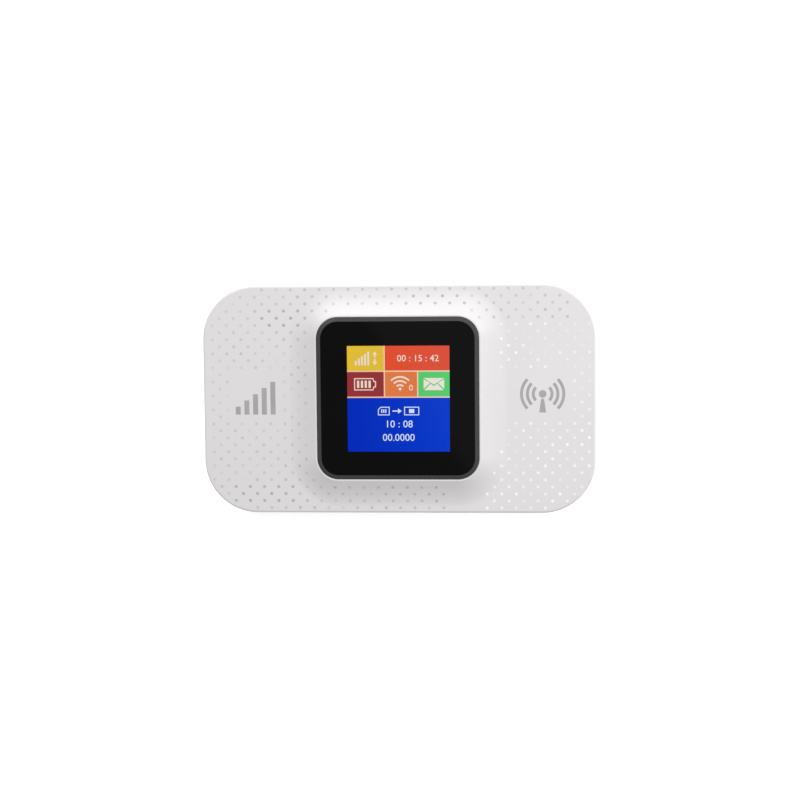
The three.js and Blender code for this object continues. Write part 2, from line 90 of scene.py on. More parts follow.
def add_camera():
    side = math.sin(FROM_RIGHT) * math.cos(FROM_ABOVE)
    height = math.cos(FROM_RIGHT) * math.cos(FROM_ABOVE)
    backwards = Vector((side, math.sin(FROM_ABOVE), height))
    rightwards = Vector((0, 1, 0)).cross(backwards).normalized()
    upwards = backwards.cross(rightwards)
    bpy.ops.object.camera_add(location=LOOK_AT + backwards * DISTANCE * MM)
    camera = bpy.context.object
    camera.rotation_euler = Matrix((rightwards, upwards, backwards)).transposed().to_euler()
    camera.rotation_euler.rotate_axis("Z", ROLL)
    camera.data.sensor_width = SENSOR
    camera.data.lens = SENSOR * DISTANCE / FIELD
    camera.data.shift_x = 0.0001
    camera.data.shift_y = -0.0030
    camera.data.clip_start = 0.01
    bpy.context.scene.camera = camera
    return camera


print("camera lens, mm:", round(add_camera().data.lens, 1))

# %% [markdown]
# ## Light
# White plastic shows its shape only by small changes of brightness. A white surround gives most of the
# light from all sides. Two soft panels stand beyond the top edge and a lower one on the right, so that
# slopes which face them turn brighter than the flat face and slopes which turn away turn darker. One more
# hangs overhead, near enough for its light to fade across the case. The floor glows a little, which keeps
# it pure white beside the case too.

# %% Light and floor
SURROUND = 0.53
PANELS = {
    # name: (place in metres, size in metres, power in watts)
    "left_panel": ((-0.25, 0.45, 0.35), 0.4, 1.6),
    "upper_panel": ((0.05, 0.50, 0.35), 0.5, 1.35),
    "right_panel": ((0.50, 0.15, 0.20), 0.4, 1.85),
    "overhead_panel": ((0.15, 0.10, 0.60), 0.5, 1.05),
}


def add_surround(strength):
    world = bpy.data.worlds.new("surround")
    world.use_nodes = True
    background = world.node_tree.nodes["Background"]
    background.inputs["Color"].default_value = (1.0, 0.995, 0.997, 1)
    background.inputs["Strength"].default_value = strength
    bpy.context.scene.world = world


def add_panel(name, place, size, power):
    bpy.ops.object.light_add(type="AREA", location=place)
    light = bpy.context.object
    light.name = name
    light.rotation_euler = Vector(place).to_track_quat("Z", "Y").to_euler()
    light.data.size = size
    light.data.energy = power


def add_floor():
    bpy.ops.mesh.primitive_plane_add(size=6)
    floor = bpy.context.object
    floor.name = "floor"
    paint = bpy.data.materials.new("floor_paint")
    paint.use_nodes = True
    shader = paint.node_tree.nodes["Principled BSDF"]
    shader.inputs["Base Color"].default_value = (0.88, 0.88, 0.88, 1)
    shader.inputs["Roughness"].default_value = 0.9
    shader.inputs["Specular IOR Level"].default_value = 0.1
    shader.inputs["Emission Color"].default_value = (1, 1, 1, 1)
    shader.inputs["Emission Strength"].default_value = 0.42
    floor.data.materials.append(paint)


add_surround(SURROUND)
for panel, (place, size, power) in PANELS.items():
    add_panel(panel, place, size, power)
add_floor()
bpy.context.scene.view_settings.view_transform = "Standard"
print("lights:", ", ".join(PANELS))

# %% [markdown]
# ## A few tools
# Modelling by hand in Blender is a chain of selections and operators. These helpers select faces or edges
# by their place, so that each later step reads as it would be done with the mouse: pick something, then
# inset, extrude, bevel or bridge it.


# %% Selection helpers
def object_mode():
    if bpy.context.object and bpy.context.object.mode != "OBJECT":
        bpy.ops.object.mode_set(mode="OBJECT")
    bpy.ops.object.select_all(action="DESELECT")


def edit_mesh():
    return bmesh.from_edit_mesh(bpy.context.object.data)


def pick(kind, test):
    """In edit mode, selects only those faces or edges that pass the test, and returns how many there are."""
    bpy.ops.mesh.select_mode(type={"faces": "FACE", "edges": "EDGE"}[kind])
    mesh = edit_mesh()
    bpy.ops.mesh.select_all(action="DESELECT")
    chosen = [item for item in getattr(mesh, kind) if test(item)]
    for item in chosen:
        item.select_set(True)
    mesh.select_flush_mode()
    bmesh.update_edit_mesh(bpy.context.object.data)
    return len(chosen)


def at_middle(face, z, y):
    middle = face.calc_center_median() / MM
    return abs(middle.z - z) < 0.01 and abs(middle.y - y) < 0.01


def is_within(face, size):
    return all(abs(v.co.x / MM) < size / 2 + 0.01 for v in face.verts)


def at_height(edge, z):
    return all(abs(v.co.z / MM - z) < 0.002 for v in edge.verts)


def is_open(edge):
    return len(edge.link_faces) < 2


def pick_open_loops(z):
    return pick("edges", lambda e: is_open(e) and at_height(e, z))


def pick_flat_face(z):
    """Selects the one many-sided face that closes an outline at height z."""
    return pick("faces", lambda f: len(f.verts) > 40 and abs(f.calc_center_median().z / MM - z) < 0.002)


# %% [markdown]
# `start_block` adds a cube and rounds its four upright edges. `add_outline` draws a rectangle with round
# corners into the mesh that is being edited. Both use the same number of steps round a corner, so that any
# two outlines can be bridged face to face. `follow` walks a selected face along a profile: each step goes
# inwards and outwards along the face's normal, which is how a fillet, a slope or a pocket is made from one
# flat face.

# %% Outline helpers
CORNER_STEPS = 24


def start_block(name, length, width, low, high, corner, centre=(0, 0), corner_steps=CORNER_STEPS):
    object_mode()
    middle = (centre[0] * MM, centre[1] * MM, (low + high) / 2 * MM)
    bpy.ops.mesh.primitive_cube_add(size=1)
    bpy.context.object.name = name
    bpy.ops.object.mode_set(mode="EDIT")
    bpy.ops.transform.resize(value=(length * MM, width * MM, (high - low) * MM), center_override=(0, 0, 0))
    bpy.ops.transform.translate(value=middle)
    pick("edges", lambda e: abs(e.verts[0].co.z - e.verts[1].co.z) > 0.5 * (high - low) * MM)
    bpy.ops.mesh.bevel(offset=corner * MM, segments=corner_steps, profile=0.5, affect="EDGES")
    return bpy.context.object


def add_outline(length, width, corner, z, y):
    """Draws a closed outline and leaves its face selected."""
    bpy.ops.mesh.select_mode(type="VERT")
    bpy.ops.mesh.select_all(action="DESELECT")
    place = (0, y * MM, z * MM)
    bpy.ops.mesh.primitive_plane_add(size=1, location=place)
    bpy.ops.transform.resize(value=(length * MM, width * MM, 1), center_override=place)
    bpy.ops.mesh.bevel(offset=corner * MM, segments=CORNER_STEPS, profile=0.5, affect="VERTICES")
    bpy.ops.mesh.select_mode(type="FACE")


def bridge_flat(size, corner, z, y, lift):
    """Opens the flat face at height z and closes it again round a square outline with round corners.

    Two loops in one plane can bridge crosswise, so the outline is drawn off the plane and moved into it.
    """
    pick_flat_face(z)
    bpy.ops.mesh.delete(type="ONLY_FACE")
    add_outline(size, size, corner, z + lift, y)
    bpy.ops.mesh.delete(type="ONLY_FACE")
    pick("edges", is_open)
    bpy.ops.mesh.bridge_edge_loops()
    pick_open_loops(z + lift)
    bpy.ops.mesh.edge_face_add()
    bpy.ops.transform.translate(value=(0, 0, -lift * MM))
    face_outwards()
    return pick("faces", lambda f: len(f.verts) > 4 and at_middle(f, z, y) and is_within(f, size))


def follow(profile):
    """Steps the selected face through points of (inwards, outwards) in millimetres."""
    for (in_0, out_0), (in_1, out_1) in zip(profile, profile[1:]):
        bpy.ops.mesh.inset(thickness=(in_1 - in_0) * MM, depth=(out_1 - out_0) * MM)


def arc(radius, steps):
    """Points of a convex fillet that turns from upright to flat, as (inwards, outwards)."""
    turns = [math.radians(90 * k / steps) for k in range(steps + 1)]
    return [(radius * (1 - math.cos(t)), radius * math.sin(t)) for t in turns]


def shifted(points, inwards, outwards):
    return [(a + inwards, b + outwards) for a, b in points]


def face_outwards():
    bpy.ops.mesh.select_all(action="SELECT")
    bpy.ops.mesh.normals_make_consistent(inside=False)


def close_up():
    """Merges doubles and turns every face outwards, then leaves edit mode."""
    bpy.ops.mesh.select_all(action="SELECT")
    bpy.ops.mesh.remove_doubles(threshold=0.0005 * MM)
    face_outwards()
    bpy.ops.object.mode_set(mode="OBJECT")
    return bpy.context.object


def smooth(piece, angle=30):
    """Smooth shading that keeps large flat faces flat and real edges sharp."""
    object_mode()
    bpy.context.view_layer.objects.active = piece
    piece.select_set(True)
    bpy.ops.object.shade_smooth_by_angle(angle=math.radians(angle))
    piece.modifiers.new("weighted", "WEIGHTED_NORMAL").keep_sharp = True
    bpy.ops.object.modifier_apply(modifier="weighted")


def cut_away(piece, cutter):
    """Takes the cutter's shape out of the piece."""
    boolean = piece.modifiers.new("cut", "BOOLEAN")
    boolean.object = cutter
    boolean.solver = "EXACT"
    object_mode()
    bpy.context.view_layer.objects.active = piece
    bpy.ops.object.modifier_apply(modifier="cut")
    bpy.data.objects.remove(cutter)


def describe(piece):
    low = [min(v.co[i] for v in piece.data.vertices) / MM for i in range(3)]
    high = [max(v.co[i] for v in piece.data.vertices) / MM for i in range(3)]
    size = " x ".join(f"{b - a:.2f}" for a, b in zip(low, high))
    print(f"{piece.name}: {size} mm, {len(piece.data.polygons)} faces")


def box_of(node):
    """A CAD node's lowest and highest corner in millimetres."""
    return [[v / MM for v in corner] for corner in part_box(node)]


# %% [markdown]
# ## Front cover
# The front of the case is one thin moulding. Its side leans in slightly, turns over a small round edge
# into the flat face, and the face sweeps up in a hollow slope to a narrow rim round the window. A hollow
# sweep has no flat area to start from, so it is grown from its own outline: the block's top face is
# opened, a square outline with round corners is drawn in it, the two are bridged, and the square is then
# followed up the slope, over the rim and down into the pocket that holds the window.

# %% Sizes of the case
front_low, front_high = box_of("front_cover")
back_low, back_high = box_of("back_cover")
window_low, window_high = box_of("display_window")
LENGTH = front_high[0] - front_low[0]
WIDTH = front_high[1] - front_low[1]
SEAM_TOP = front_low[2]
SEAM_BOTTOM = back_high[2]
RIM_Z = front_high[2]
WINDOW = window_high[0] - window_low[0]
WINDOW_Y = (window_high[1] + window_low[1]) / 2

CORNER = 13.5
WALL = 1.4
FACE_Z = 12.6
LEAN = 0.15
EDGE = 0.6
SOFT = 0.15  # the small radius that every moulded edge has
CEILING_Z = 11.4
RIM_WIDTH = 0.45
GAP = 0.15  # between window and rim
SLOPE_WIDTH = 6.6
SLOPE_STEPS = 22
SEAT_Z = 13.55
LEDGE = 1.6  # what the window is taped to
HOOD_Z = 12.95  # inner ceiling over the display
HOOD_LEDGE = 1.45
WINDOW_CORNER = 5.2
print(f"case {LENGTH:.1f} x {WIDTH:.1f} mm, window {WINDOW:.1f} mm, {WINDOW_Y:.2f} mm above the middle")


# %% Front cover, outside
def slope_profile():
    """From the flat face, in and up a parabola, to the rim with its soft outer edge."""
    rise = RIM_Z - FACE_Z
    steps = [k / SLOPE_STEPS for k in range(SLOPE_STEPS + 1)]
    return [(SLOPE_WIDTH * s, rise * s**1.75 - SOFT * 0.35 * s**12) for s in steps]


def pocket_profile():
    """Over the rim, down beside the window, and in along the ledge that it is taped to."""
    inner = SLOPE_WIDTH + RIM_WIDTH
    rise = RIM_Z - FACE_Z
    lip = [(SLOPE_WIDTH, rise - SOFT * 0.35), (SLOPE_WIDTH + 0.08, rise), (inner - 0.08, rise)]
    pocket = [(inner, rise - 0.08), (inner, SEAT_Z - FACE_Z), (inner + LEDGE, SEAT_Z - FACE_Z)]
    return lip + pocket


def front_outside():
    start = SEAM_TOP + 1
    start_block("case_front", LENGTH, WIDTH, SEAM_TOP, start, CORNER)
    pick_flat_face(start)
    follow([(0, 0)] + shifted(arc(EDGE, 12), LEAN, FACE_Z - EDGE - start))
    grow = GAP + RIM_WIDTH + SLOPE_WIDTH
    bridge_flat(WINDOW + 2 * grow, WINDOW_CORNER + grow, FACE_Z, WINDOW_Y, lift=5)
    follow(slope_profile())
    follow(pocket_profile())
    follow([(0, 0), (0, HOOD_Z - SEAT_Z)])


# %% [markdown]
# The same mesh is then hollowed from below. The bottom face is stepped in by the wall thickness and pushed
# up to the ceiling, and a square in the ceiling is pushed up further to make room for the display. Its top
# ends exactly on the opening under the window, so both faces there are deleted and their edges merged: the
# moulding has a real thickness everywhere and is one closed surface.


# %% Front cover, inside
def hollow_front():
    pick_flat_face(SEAM_TOP)
    follow([(0, 0), (WALL, 0), (WALL, SEAM_TOP - CEILING_Z)])
    aperture = WINDOW + 2 * GAP - 2 * LEDGE
    aperture_corner = WINDOW_CORNER + GAP - LEDGE
    bridge_flat(aperture + 2 * HOOD_LEDGE, aperture_corner + HOOD_LEDGE, CEILING_Z, WINDOW_Y, lift=-5)
    follow([(0, 0), (0, CEILING_Z - HOOD_Z), (HOOD_LEDGE, CEILING_Z - HOOD_Z)])
    pick_flat_face(HOOD_Z)
    bpy.ops.mesh.delete(type="ONLY_FACE")
    pick_open_loops(HOOD_Z)
    bpy.ops.mesh.remove_doubles(threshold=0.15 * MM)


def soften_bottom(z):
    """Rounds the moulded edge along the seam."""
    pick("edges", lambda e: at_height(e, z) and e.calc_face_angle(0) > math.radians(60))
    bpy.ops.mesh.bevel(offset=SOFT * MM, segments=3, profile=0.5, affect="EDGES")


def open_edge_count(piece):
    mesh = bmesh.new()
    mesh.from_mesh(piece.data)
    count = sum(1 for e in mesh.edges if not e.is_manifold)
    mesh.free()
    return count


front_outside()
hollow_front()
close_up()
bpy.ops.object.mode_set(mode="EDIT")
soften_bottom(SEAM_TOP)
case_front = close_up()
describe(case_front)
print("open edges:", open_edge_count(case_front))

# %% [markdown]
# ## Openings in the front cover
# The charging port, the reset pinhole and the slot of the power key go through the side wall. Each is cut
# with a boolean by a block whose outer end widens a little, which leaves the small chamfer that a moulded
# opening has.

# %% Cut the openings
port_low, port_high = box_of("port_shell")
key_low, key_high = box_of("power_key")
PORT = {"length": 8.4, "height": 3.3, "corner": 1.3, "x": 0, "z": (port_low[2] + port_high[2]) / 2}
KEY = {"length": 9.0, "height": 2.6, "y": 8, "z": 9.2}
PINHOLE = {"radius": 0.5, "x": 13, "z": 10.3}
CHAMFER = 0.25


def opening_cutter(length, height, corner):
    """A block along Z with a widening mouth just past z = 0, drawn upright and turned into place later."""
    cutter = start_block("cutter", length, height, -3 * WALL, -2 * CHAMFER, corner)
    pick_flat_face(-2 * CHAMFER)
    bpy.ops.mesh.extrude_region_move(TRANSFORM_OT_translate={"value": (0, 0, CHAMFER * MM)})
    wider = (1 + 2 * CHAMFER / length, 1 + 2 * CHAMFER / height, 1)
    for rise in (CHAMFER + 0.013, 1.0):
        bpy.ops.mesh.extrude_region_move(TRANSFORM_OT_translate={"value": (0, 0, rise * MM)})
        bpy.ops.transform.resize(value=wider)
    return close_up()


def put_in_wall(cutter, place, turn):
    """Turns a cutter so that its mouth faces out of the wall, and applies its place to its mesh."""
    cutter.rotation_euler = turn
    cutter.location = [v * MM for v in place]
    object_mode()
    cutter.select_set(True)
    bpy.context.view_layer.objects.active = cutter
    bpy.ops.object.transform_apply(location=True, rotation=True, scale=True)
    return cutter


TO_FRONT = (math.radians(90), 0, 0)
TO_RIGHT = (math.radians(90), 0, math.radians(90))
KEY_PLACE = (LENGTH / 2, KEY["y"], KEY["z"])
port_place = (PORT["x"], -WIDTH / 2, PORT["z"])
port_cutter = opening_cutter(PORT["length"], PORT["height"], PORT["corner"])
cut_away(case_front, put_in_wall(port_cutter, port_place, TO_FRONT))
key_cutter = opening_cutter(KEY["length"] + 2 * GAP, KEY["height"] + 2 * GAP, KEY["height"] / 2 + GAP - 0.02)
cut_away(case_front, put_in_wall(key_cutter, KEY_PLACE, TO_RIGHT))
pin_size = 2 * PINHOLE["radius"]
pin_cutter = opening_cutter(pin_size, pin_size, PINHOLE["radius"] - 0.01)
cut_away(case_front, put_in_wall(pin_cutter, (PINHOLE["x"], -WIDTH / 2, PINHOLE["z"]), TO_FRONT))
smooth(case_front)
describe(case_front)

# %% [markdown]
# ## Back cover
# The back is a shallow tray with a large soft radius towards the table. It starts as a block with round
# corners: the bottom face is followed down a 3 mm arc, and the top face is stepped in by the wall and
# pushed down to the floor, with a small fillet where wall and floor meet. A notch for a fingernail is cut
# at the left end.

# %% Back cover
BACK_LEAN = 0.1
BACK_EDGE = 3.0
FLOOR = 1.2
NOTCH = {"length": 9.0, "height": 1.4, "corner": 0.68}


def back_outside():
    start_block("case_back", LENGTH, WIDTH, BACK_EDGE, SEAM_BOTTOM, CORNER)
    pick_flat_face(BACK_EDGE)
    follow([(0, 0)] + shifted(arc(BACK_EDGE, 14), BACK_LEAN, 0))


def hollow_back():
    pick_flat_face(SEAM_BOTTOM)
    depth = SEAM_BOTTOM - FLOOR
    fillet = [(WALL + 2.0 * (1 - math.cos(t)), 2.0 - 2.0 * math.sin(t) - depth)
              for t in (math.radians(15 * k) for k in range(7))]
    follow([(0, 0), (WALL, 0)] + fillet)


back_outside()
hollow_back()
soften_bottom(SEAM_BOTTOM)
case_back = close_up()
notch_cutter = opening_cutter(NOTCH["length"], NOTCH["height"], NOTCH["corner"])
TO_LEFT = (math.radians(90), 0, math.radians(-90))
notch_place = (-LENGTH / 2 - 0.2, 0, SEAM_BOTTOM)
cut_away(case_back, put_in_wall(notch_cutter, notch_place, TO_LEFT))
smooth(case_back)
describe(case_back)


def place_piece(piece, body, slot, *nodes):
    """Makes a piece move with a body and stand for CAD nodes. The slot is not used."""
    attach(piece, body)
    if nodes:
        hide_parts(*nodes)


place_piece(case_front, "case", "shell", "front_cover")
place_piece(case_back, "back_cover", "shell", "back_cover")

# %% [markdown]
# ## Finishes
# Nearly every part is a moulded plastic or a thin metal, so two small recipes make most finishes. Both
# read Object coordinates, which are real places on the part, so the grain has a true size. A fine noise
# breaks up the gloss and tilts the surface a little, a broad noise shifts the colour by a hair, as uneven
# flow does in a moulding.

# %% Finish recipes
def srgb(red, green, blue):
    """A colour as seen on a screen, 0 to 255, turned into the light values that shaders use."""
    def linear(value):
        value /= 255
        return value / 12.92 if value <= 0.04045 else ((value + 0.055) / 1.055) ** 2.4
    return (linear(red), linear(green), linear(blue), 1)


def scaled(colour, factor):
    return tuple(min(1, channel * factor) for channel in colour[:3]) + (1,)


def add_noise(tree, grain, detail=2, stretch=(1, 1, 1)):
    """Noise whose blobs are `grain` millimetres across."""
    place = tree.nodes.new("ShaderNodeTexCoord")
    mapping = tree.nodes.new("ShaderNodeMapping")
    mapping.inputs["Scale"].default_value = stretch
    noise = tree.nodes.new("ShaderNodeTexNoise")
    noise.inputs["Scale"].default_value = 1 / (grain * MM)
    noise.inputs["Detail"].default_value = detail
    tree.links.new(place.outputs["Object"], mapping.inputs["Vector"])
    tree.links.new(mapping.outputs["Vector"], noise.inputs["Vector"])
    return noise


def ramp_between(tree, value, low, high, start=0.3, end=0.7):
    """Spreads a value between two colours."""
    ramp = tree.nodes.new("ShaderNodeValToRGB")
    ramp.color_ramp.elements[0].position = start
    ramp.color_ramp.elements[1].position = end
    ramp.color_ramp.elements[0].color = low
    ramp.color_ramp.elements[1].color = high
    tree.links.new(value, ramp.inputs["Fac"])
    return ramp.outputs["Color"]


def number_between(tree, value, low, high, start=0.3, end=0.7):
    spread = tree.nodes.new("ShaderNodeMapRange")
    spread.inputs["From Min"].default_value = start
    spread.inputs["From Max"].default_value = end
    spread.inputs["To Min"].default_value = low
    spread.inputs["To Max"].default_value = high
    tree.links.new(value, spread.inputs["Value"])
    return spread.outputs["Result"]


def finish(name, colour, roughness, grain=0.4, relief=0.004, metal=0.0, shine=0.5, coat=0.0,
           variation=0.03, patch=14, stretch=(1, 1, 1)):
    """A moulded or metal surface: broad patches, a fine grain in the gloss, and a shallow relief in mm."""
    material = bpy.data.materials.new(name)
    material.use_nodes = True
    tree = material.node_tree
    shader = tree.nodes["Principled BSDF"]
    shader.inputs["Metallic"].default_value = metal
    shader.inputs["Specular IOR Level"].default_value = shine
    shader.inputs["Coat Weight"].default_value = coat
    shader.inputs["Coat Roughness"].default_value = 0.05
    broad = add_noise(tree, patch, detail=1)
    fine = add_noise(tree, grain, stretch=stretch)
    darker, lighter = scaled(colour, 1 - variation), scaled(colour, 1 + variation)
    tint = ramp_between(tree, broad.outputs["Fac"], darker, lighter)
    tree.links.new(tint, shader.inputs["Base Color"])
    gloss = number_between(tree, fine.outputs["Fac"], roughness * 0.85, roughness * 1.15)
    tree.links.new(gloss, shader.inputs["Roughness"])
    if relief:
        bump = tree.nodes.new("ShaderNodeBump")
        bump.inputs["Strength"].default_value = 0.6
        bump.inputs["Distance"].default_value = relief * MM
        tree.links.new(fine.outputs["Fac"], bump.inputs["Height"])
        tree.links.new(bump.outputs["Normal"], shader.inputs["Normal"])
    return material


def paint(piece, material):
    piece.data.materials.clear()
    piece.data.materials.append(material)


SHELL_WHITE = (0.56, 0.545, 0.555, 1)
shell_gloss = finish("shell_gloss", SHELL_WHITE, 0.4, grain=0.5, relief=0.0015, coat=0.08,
                     variation=0.012, patch=20)
for piece in (case_front, case_back):
    paint(piece, shell_gloss)
print("finish:", shell_gloss.name)

# %% [markdown]
# ## Display window
# The window is one dark plate with a sloping edge that catches a little light. The slope and the flat have
# different finishes: the slope is ground and looks dark grey, the flat is polished and nearly black. They
# are modelled as two rings of one outline: a frame with a rounded, sloping top, and a plate that fills it
# to the same height.

# %% Display window
BEZEL = 0.92
BEZEL_DROP = 0.26


def window_block(name, size, corner, low, high):
    return start_block(name, size, size, low, high, corner, centre=(0, WINDOW_Y))


def make_bezel():
    top = window_high[2]
    shoulder = top - BEZEL_DROP
    window_block("window_bezel", WINDOW, WINDOW_CORNER, window_low[2], shoulder - 0.1)
    pick_flat_face(shoulder - 0.1)
    follow([(0, 0), (0.03, 0.09), (0.12, 0.16), (BEZEL - 0.22, BEZEL_DROP + 0.02),
            (BEZEL - 0.08, BEZEL_DROP + 0.085), (BEZEL, BEZEL_DROP + 0.095), (BEZEL, BEZEL_DROP - 0.5)])
    return close_up()


def make_pane():
    top = window_high[2]
    size = WINDOW - 2 * BEZEL - 0.02
    window_block("window_pane", size, WINDOW_CORNER - BEZEL, top - 0.45, top - 0.05)
    pick_flat_face(top - 0.05)
    follow([(0, 0), (0.012, 0.032), (0.05, 0.045)])
    return close_up()


window_bezel = make_bezel()
window_pane = make_pane()
for piece in (window_bezel, window_pane):
    smooth(piece, angle=40)
    describe(piece)
    place_piece(piece, "case", "window", "display_window")
EDGE_GREY = (0.043, 0.043, 0.044, 1)
GLASS_BLACK = (0.0035, 0.0033, 0.0036, 1)
paint(window_bezel, finish("ground_edge", EDGE_GREY, 0.3, grain=0.25, relief=0.002, shine=0.12))
paint(window_pane, finish("polished_black", GLASS_BLACK, 0.05, grain=3, relief=0, shine=0.025))

# %% [markdown]
# ## Picture on the display
# The lit picture is a set of plain tiles: two rows of status tiles above one large tile. The window is
# bonded to the display, so the picture seems to lie in the surface of the glass. Each tile is a thin plate
# with its own light, on a pale plate that shows between the tiles as lines. The colours darken a little
# towards one edge, as a small display does when it is seen at an angle.

# %% Tiles
VIEW_WIDTH = 25.3
VIEW_HEIGHT = 26.2
VIEW_LEFT = 0.22 - VIEW_WIDTH / 2
VIEW_TOP = WINDOW_Y - 0.05 + VIEW_HEIGHT / 2
LAYER = 0.012
GLOW = 0.4
BASE_SHARE = 0.45  # how much of a tile's colour the unlit surface has
SCREEN_Z = window_high[2] - 0.005


def lit(name, colour, other):
    """A surface that gives off its own colour, running from one colour to the other across the picture."""
    material = bpy.data.materials.new(name)
    material.use_nodes = True
    tree = material.node_tree
    shader = tree.nodes["Principled BSDF"]
    place = tree.nodes.new("ShaderNodeTexCoord")
    mapping = tree.nodes.new("ShaderNodeMapping")
    mapping.inputs["Scale"].default_value = (1 / (VIEW_WIDTH * MM),) * 3
    mapping.inputs["Location"].default_value = (0.5, 0.5, 0)
    across = tree.nodes.new("ShaderNodeSeparateXYZ")
    tree.links.new(place.outputs["Object"], mapping.inputs["Vector"])
    tree.links.new(mapping.outputs["Vector"], across.inputs["Vector"])
    colour_out = ramp_between(tree, across.outputs["X"], colour, other, 0.0, 1.0)
    tree.links.new(colour_out, shader.inputs["Emission Color"])
    bases = scaled(colour, BASE_SHARE), scaled(other, BASE_SHARE)
    base_out = ramp_between(tree, across.outputs["X"], *bases, 0.0, 1.0)
    tree.links.new(base_out, shader.inputs["Base Color"])
    shader.inputs["Emission Strength"].default_value = GLOW
    shader.inputs["Roughness"].default_value = 0.12
    shader.inputs["Specular IOR Level"].default_value = 0.05
    return material


def make_plate(name, left, top, width, height, layer):
    """A thin plate on the window, given by its upper left corner in the picture."""
    low = SCREEN_Z + layer * LAYER
    middle = (left + width / 2, top - height / 2)
    plate = start_block(name, width, height, low, low + LAYER, 0.08, middle, corner_steps=2)
    bpy.ops.object.mode_set(mode="OBJECT")
    return plate


SMALL_TILE = 6.1  # height of the small tiles
LINE = 0.32  # between tiles
LOWER_ROW = SMALL_TILE + LINE
LARGE_ROW = 2 * LOWER_ROW
FIRST_WIDTH = 9.05
SECOND = FIRST_WIDTH + LINE
SECOND_WIDTH = 7.9
THIRD = SECOND + SECOND_WIDTH + LINE
TITLE_WIDTH = VIEW_WIDTH - SECOND
THIRD_WIDTH = VIEW_WIDTH - THIRD
TILES = {
    # name: (left, top, width, height) in the picture, colour on the left, colour on the right
    "tile_signal": ((0, 0, FIRST_WIDTH, SMALL_TILE), srgb(224, 188, 52), srgb(218, 180, 66)),
    "tile_title": ((SECOND, 0, TITLE_WIDTH, SMALL_TILE), srgb(228, 77, 38), srgb(216, 78, 56)),
    "tile_battery": ((0, LOWER_ROW, FIRST_WIDTH, SMALL_TILE), srgb(150, 48, 54), srgb(140, 52, 62)),
    "tile_wireless": ((SECOND, LOWER_ROW, SECOND_WIDTH, SMALL_TILE), srgb(226, 124, 62), srgb(218, 116, 72)),
    "tile_message": ((THIRD, LOWER_ROW, THIRD_WIDTH, SMALL_TILE), srgb(78, 192, 84), srgb(88, 202, 112)),
    "tile_status": ((0, LARGE_ROW, VIEW_WIDTH, VIEW_HEIGHT - LARGE_ROW), srgb(0, 42, 184), srgb(0, 57, 202)),
}
picture = []
backing = make_plate("picture_backing", VIEW_LEFT, VIEW_TOP, VIEW_WIDTH, VIEW_HEIGHT, layer=0)
paint(backing, lit("pale_line", srgb(236, 196, 150), srgb(236, 206, 190)))
picture.append(backing)
for name, ((left, top, width, height), colour, other) in TILES.items():
    tile = make_plate(name, VIEW_LEFT + left, VIEW_TOP - top, width, height, layer=1)
    paint(tile, lit(name.replace("tile", "light"), colour, other))
    picture.append(tile)
print(len(picture), "plates in the picture")

# %% [markdown]
# The signs on the tiles are plain pictograms: rising bars, a battery with four cells, waves, and an
# envelope. Words are left out. Digits stand where a clock and two counters would be, and a card with an
# arrow stands for the request to put a card in. A flat sign is drawn as a chain of extruded vertices that
# is then filled, an arc is an edge that is spun about a point, and Solidify gives the finished sign its
# thickness.


# %% Drawing helpers for signs
def start_sign(name):
    object_mode()
    bpy.ops.mesh.primitive_plane_add(size=1)
    bpy.context.object.name = name
    bpy.ops.object.mode_set(mode="EDIT")
    bpy.ops.mesh.select_mode(type="VERT")
    bpy.ops.mesh.select_all(action="SELECT")
    bpy.ops.mesh.delete(type="VERT")


def sign_chain(points):
    """Draws a chain of edges through points in millimetres and leaves it selected."""
    (x, y), *rest = points
    bpy.ops.mesh.select_all(action="DESELECT")
    bpy.ops.mesh.primitive_plane_add(size=MM, location=(x * MM, y * MM, 0))
    bpy.ops.mesh.merge(type="CENTER")
    for next_x, next_y in rest:
        move = ((next_x - x) * MM, (next_y - y) * MM, 0)
        bpy.ops.mesh.extrude_vertices_move(TRANSFORM_OT_translate={"value": move})
        x, y = next_x, next_y
    bpy.ops.mesh.select_linked()


def sign_shape(points):
    sign_chain(points)
    bpy.ops.mesh.edge_face_add()


def sign_bar(left, low, width, height):
    sign_shape([(left, low), (left + width, low), (left + width, low + height), (left, low + height)])


def sign_stroke(points, width):
    """A bent line of even width with mitred corners, closed where the last point is the first."""
    closed = points[0] == points[-1]
    corners = [Vector(point) for point in points]
    sides = [(b - a).orthogonal().normalized() for a, b in zip(corners, corners[1:])]
    edges = []
    for k, corner in enumerate(corners):
        before = sides[k - 1] if k or closed else sides[0]
        after = sides[k] if k < len(sides) else sides[0] if closed else sides[-1]
        mitre = (before + after).normalized()
        mitre *= width / 2 / mitre.dot(after)
        edges.append((corner - mitre, corner + mitre))
    for (left_0, right_0), (left_1, right_1) in zip(edges, edges[1:]):
        sign_shape([left_0, right_0, right_1, left_1])


def sign_disc(x, y, radius):
    bpy.ops.mesh.select_all(action="DESELECT")
    bpy.ops.mesh.primitive_circle_add(
        vertices=16, radius=radius * MM, fill_type="NGON", location=(x * MM, y * MM, 0))


def sign_arc(x, y, radius, width, start, end, steps=14):
    """Part of a ring, from one angle to another in degrees."""
    along = math.cos(math.radians(start)), math.sin(math.radians(start))
    ends = [(x + r * along[0], y + r * along[1]) for r in (radius - width / 2, radius + width / 2)]
    sign_chain(ends)
    turn = math.radians(end - start)
    bpy.ops.mesh.spin(steps=steps, angle=turn, center=(x * MM, y * MM, 0), axis=(0, 0, -1))


